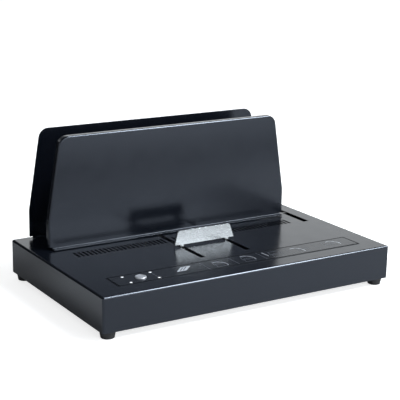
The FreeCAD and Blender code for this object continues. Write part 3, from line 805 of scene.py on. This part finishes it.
def make_prints(finishes):
    """Painted shade line just inside the edges and cell lines on the control strip, a page in the first cell
    and sheets in the others.
    """
    low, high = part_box("panel_overlay")
    level = high.z
    inks = {name: bmesh.new() for name in ("light", "grey", "dark_and_edge_shade")}
    # painted shade: a dark matte line just inside the film's edges stands for the shade along the edge of the
    # film
    front_left, rear_left, front_right, rear_right = corners_of("panel_overlay", edge_shade_inset, edge_shade_inset)
    edge_shade_line = [Vector(place) for place in (front_left, front_right, rear_right, rear_left)]
    ribbon(inks["dark_and_edge_shade"], edge_shade_line, edge_shade_width, level, closed=True)
    cells = [low.x + cell_start + cell_pitch * k for k in range(cell_count + 1)]
    for x in cells[1:-1]:
        ends = [Vector((x, low.y + cell_inset)), Vector((x, high.y - cell_inset))]
        ribbon(inks["grey"], ends, line_fine, level)
    for k, x in enumerate(cells[:-1]):
        centre = Vector((x + cell_pitch / 2, (low.y + high.y) / 2))
        if k == 0:
            draw_page(inks, centre + Vector(page_shift), level)
        else:
            draw_sheets(inks, centre, level, arrow_places.get(k))
    lights_low, lights_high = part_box("light_pipes")
    column = lights_high.x - light_radius
    ends = [Vector((column, y)) for y in (lights_low.y + light_line_inset, lights_high.y - light_line_inset)]
    ribbon(inks["grey"], ends, line_fine, level)
    for name, bm in inks.items():
        keep("strip_print_" + name, bm, "root", finishes["print_" + name])


def draw_page(inks, centre, level):
    """A bright page with darker lines of writing drawn as plain strokes."""
    corners = slanted(centre, page_size, page_skew)
    patch(inks["light"], corners, level)
    for share in page_line_shares:
        start = corners[0].lerp(corners[1], share)
        finish = corners[3].lerp(corners[2], share)
        ends = [start.lerp(finish, reach) for reach in page_line_ends]
        ribbon(inks["dark_and_edge_shade"], ends, page_line, level + print_thick)


def draw_sheets(inks, centre, level, arrow_place):
    """Outlines of two sheets, with a curved stroke over them or, without a place for one, a straight one."""
    for lift in sheet_lifts:
        sheet = slanted(centre + Vector((0, lift)), sheet_size, sheet_skew)
        ribbon(inks["grey"], sheet, line_fine, level, closed=True)
    if arrow_place:
        stroke = arc(centre + Vector(arrow_place), arrow_radius, *arrow_angles, stroke_steps)
    else:
        start = centre + Vector(stroke_start)
        stroke = [start, start + Vector(stroke_run)]
    ribbon(inks["light"], stroke, line_bold, level)


def make_marks(finishes):
    """Bar on the upper and ring on the lower of the two faces of the mains rocker."""
    outward = [face for face in nodes["mains_rocker"].data.polygons if face.normal.y > mark_face_turn]
    largest = sorted(outward, key=lambda face: face.area)[-2:]
    lower, upper = sorted(largest, key=lambda face: face.center.z)
    half = mark_height / 2
    bar = [Vector((0, -half)), Vector((0, half))]
    ring = arc((0, 0), (half, half), 0, 360 - 360 / mark_facets, mark_facets - 1)
    for name, face, points, closed in (("bar", upper, bar, False), ("ring", lower, ring, True)):
        bm = bmesh.new()
        ribbon(bm, points, mark_width, 0, closed)
        up = (Vector((0, 0, 1)) - face.normal * face.normal.z).normalized()
        axes = Matrix((up.cross(face.normal), up, face.normal)).transposed().to_4x4()
        bm.transform(Matrix.Translation(face.center) @ axes)
        keep("rocker_mark_" + name, bm, "power_rocker", finishes["print_light"])


def make_screws(finishes):
    """Pan-head screws with a hexagon socket under the base, below everything that is fixed to it."""
    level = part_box("base_pan")[0].z
    socket_floor = level - screw_height + screw_socket_depth
    profile = [(screw_radius, level)]
    for turn in quarter_turn(bend_steps):
        profile.append((
            screw_socket + (screw_radius - screw_socket) * math.cos(turn),
            level - screw_height * math.sin(turn),
        ))
    profile += [(screw_socket, socket_floor), (0, socket_floor)]
    places = []
    for node in ("control_board", "power_board", "trough_posts"):
        places += corners_of(node, board_inset, board_inset)
    places += corners_of("rod_supports", *rod_foot_inset)
    bm = bmesh.new()
    for place in places:
        rings = lathe(bm, profile, place, screw_facets)
        socket_rings = rings[-3:-1]
        for ring in socket_rings:
            make_hexagon(ring, place)
        bm.faces.new(rings[0])
    shade(keep("base_screws", bm, "root", finishes["plated_steel"]))


def make_hexagon(ring, place):
    """Pull a round ring in to a hexagon with the same corners."""
    side = math.pi / 3
    for k, vert in enumerate(ring):
        turn = math.tau * k / len(ring) % side - side / 2
        away = Vector((vert.co.x - place[0], vert.co.y - place[1], 0))
        vert.co -= away * (1 - math.cos(side / 2) / math.cos(turn))


def make_camera():
    """Camera at its place, aimed by azimuth and elevation and rolled a little."""
    data = bpy.data.cameras.new("camera")
    data.sensor_width = camera_sensor
    data.lens = camera_lens
    camera = bpy.data.objects.new("camera", data)
    scene.collection.objects.link(camera)
    azimuth = math.radians(camera_azimuth)
    elevation = math.radians(camera_elevation)
    back = Vector((
        math.sin(azimuth) * math.cos(elevation),
        -math.cos(azimuth) * math.cos(elevation),
        math.sin(elevation),
    ))
    right = Vector((math.cos(azimuth), math.sin(azimuth), 0.0))
    up = back.cross(right)
    roll = Matrix.Rotation(math.radians(camera_roll), 3, back)
    axes = Matrix((roll @ right, roll @ up, back)).transposed().to_4x4()
    camera.matrix_world = Matrix.Translation(camera_place) @ axes
    scene.camera = camera


def ray_share(tree, names):
    """1 for the kinds of ray named, and 0 for all others."""
    path = tree.nodes.new("ShaderNodeLightPath")
    share = path.outputs[names[0]]
    for name in names[1:]:
        largest = tree.nodes.new("ShaderNodeMath")
        largest.operation = "MAXIMUM"
        tree.links.new(share, largest.inputs[0])
        tree.links.new(path.outputs[name], largest.inputs[1])
        share = largest.outputs[0]
    return share


def make_room():
    """White where the camera looks; in gloss, white low down and dim overhead; a soft fill for the rest."""
    world = bpy.data.worlds.new("room")
    scene.world = world
    world.use_nodes = True
    tree = world.node_tree
    fill = tree.nodes["Background"]
    fill.inputs["Color"].default_value = (*room_fill_colour, 1.0)
    fill.inputs["Strength"].default_value = room_fill
    white = tree.nodes.new("ShaderNodeBackground")
    white.inputs["Color"].default_value = (*room_white, 1.0)
    mirrored = tree.nodes.new("ShaderNodeBackground")
    mirrored.inputs["Color"].default_value = (*room_mirrored_colour, 1.0)
    direction = tree.nodes.new("ShaderNodeTexCoord")
    parts = tree.nodes.new("ShaderNodeSeparateXYZ")
    tree.links.new(direction.outputs["Generated"], parts.inputs[0])
    fade = tree.nodes.new("ShaderNodeMapRange")
    fade.inputs["From Min"].default_value = math.sin(math.radians(room_fade[0]))
    fade.inputs["From Max"].default_value = math.sin(math.radians(room_fade[1]))
    fade.inputs["To Min"].default_value = room_mirrored
    fade.inputs["To Max"].default_value = room_ceiling
    tree.links.new(parts.outputs["Z"], fade.inputs["Value"])
    tree.links.new(fade.outputs["Result"], mirrored.inputs["Strength"])
    shown = fill
    for names, background in (
        (["Is Glossy Ray"], mirrored),
        (["Is Camera Ray", "Is Transmission Ray"], white),
    ):
        mix = tree.nodes.new("ShaderNodeMixShader")
        tree.links.new(ray_share(tree, names), mix.inputs["Fac"])
        tree.links.new(shown.outputs[0], mix.inputs[1])
        tree.links.new(background.outputs[0], mix.inputs[2])
        shown = mix
    tree.links.new(shown.outputs[0], tree.nodes["World Output"].inputs["Surface"])


def make_floor():
    """Pale floor that glows a little for the camera, so that it joins the white room."""
    bpy.ops.mesh.primitive_plane_add(size=floor_size, location=(0, 0, 0))
    floor = bpy.context.object
    floor.name = "floor"
    surface = Finish("floor_pale", (floor_tone,) * 3, floor_rough)
    surface.mottle(surface.noise(floor_patch), (floor_tone * floor_patch_share,) * 3)
    glow = surface.node("ShaderNodeEmission")
    glow.inputs["Strength"].default_value = floor_glow
    seen = surface.node("ShaderNodeMixShader")
    surface.link(ray_share(surface.tree, ["Is Camera Ray"]), seen.inputs["Fac"])
    surface.link(glow.outputs[0], seen.inputs[2])
    both = surface.node("ShaderNodeAddShader")
    surface.link(surface.shader.outputs[0], both.inputs[0])
    surface.link(seen.outputs[0], both.inputs[1])
    surface.link(both.outputs[0], surface.tree.nodes["Material Output"].inputs["Surface"])
    floor.data.materials.append(surface.material)


def aim(thing, place, target):
    """Turn a lamp or card, which faces down, so that it faces a point."""
    thing.rotation_mode = "QUATERNION"
    thing.rotation_quaternion = (Vector(target) - Vector(place)).to_track_quat("-Z", "Y")


def soft_box(name, place, target, size, power):
    """Lit rectangle that faces a point; the camera doesn't see it."""
    data = bpy.data.lights.new(name, "AREA")
    data.shape = "RECTANGLE"
    data.size, data.size_y = size
    data.energy = power
    data.color = light_colour
    light = bpy.data.objects.new(name, data)
    scene.collection.objects.link(light)
    light.location = place
    aim(light, place, target)
    light.visible_camera = False


def gloss_card(name, place, target, size, radiance):
    """Glowing or, at no radiance, black rectangle that only reflections show."""
    bpy.ops.mesh.primitive_plane_add(size=1.0, location=place)
    card = bpy.context.object
    card.name = name
    card.scale = (*size, 1.0)
    aim(card, place, target)
    surface = Finish(name, (0.0, 0.0, 0.0), 1.0)
    surface.set("Emission Color", (*light_colour, 1.0))
    surface.set("Emission Strength", radiance)
    card.data.materials.append(surface.material)
    card.visible_camera = False
    card.visible_diffuse = False
    card.visible_shadow = False
    card.visible_transmission = False


def make_studio():
    """White room and pale floor, with a large soft box high on the right and a weak one low in front.

    The glint draws the line of light along the bends; the flags darken what the rims and the front reflect.
    """
    make_room()
    make_floor()
    glint_place = Vector(light_target).lerp(Vector(key_place), glint_share)
    gloss_card("glint", glint_place, light_target, glint_size, glint_radiance)
    soft_box("key", key_place, light_target, key_size, key_power)
    soft_box("front", front_place, light_target, front_size, front_power)
    gloss_card("floor_flag", floor_flag_place, floor_flag_target, floor_flag_size, floor_flag_radiance)
    gloss_card("left_flag", left_flag_place, left_flag_target, left_flag_size, 0.0)
    gloss_card("rear_flag", rear_flag_place, rear_flag_target, rear_flag_size, 0.0)


make_camera()
finishes = make_finishes()
dress_nodes(finishes)
upright_plate("front_plate", "carriage", finishes["black_paint"], plate_rim)
upright_plate("back_plate", "root", finishes["black_paint"], 0)
make_handle(finishes["brushed_aluminium"])
make_button(finishes)
make_lights(finishes)
make_feet(finishes)
make_prints(finishes)
make_marks(finishes)
make_screws(finishes)
make_studio()

scene.view_settings.view_transform = "Standard"
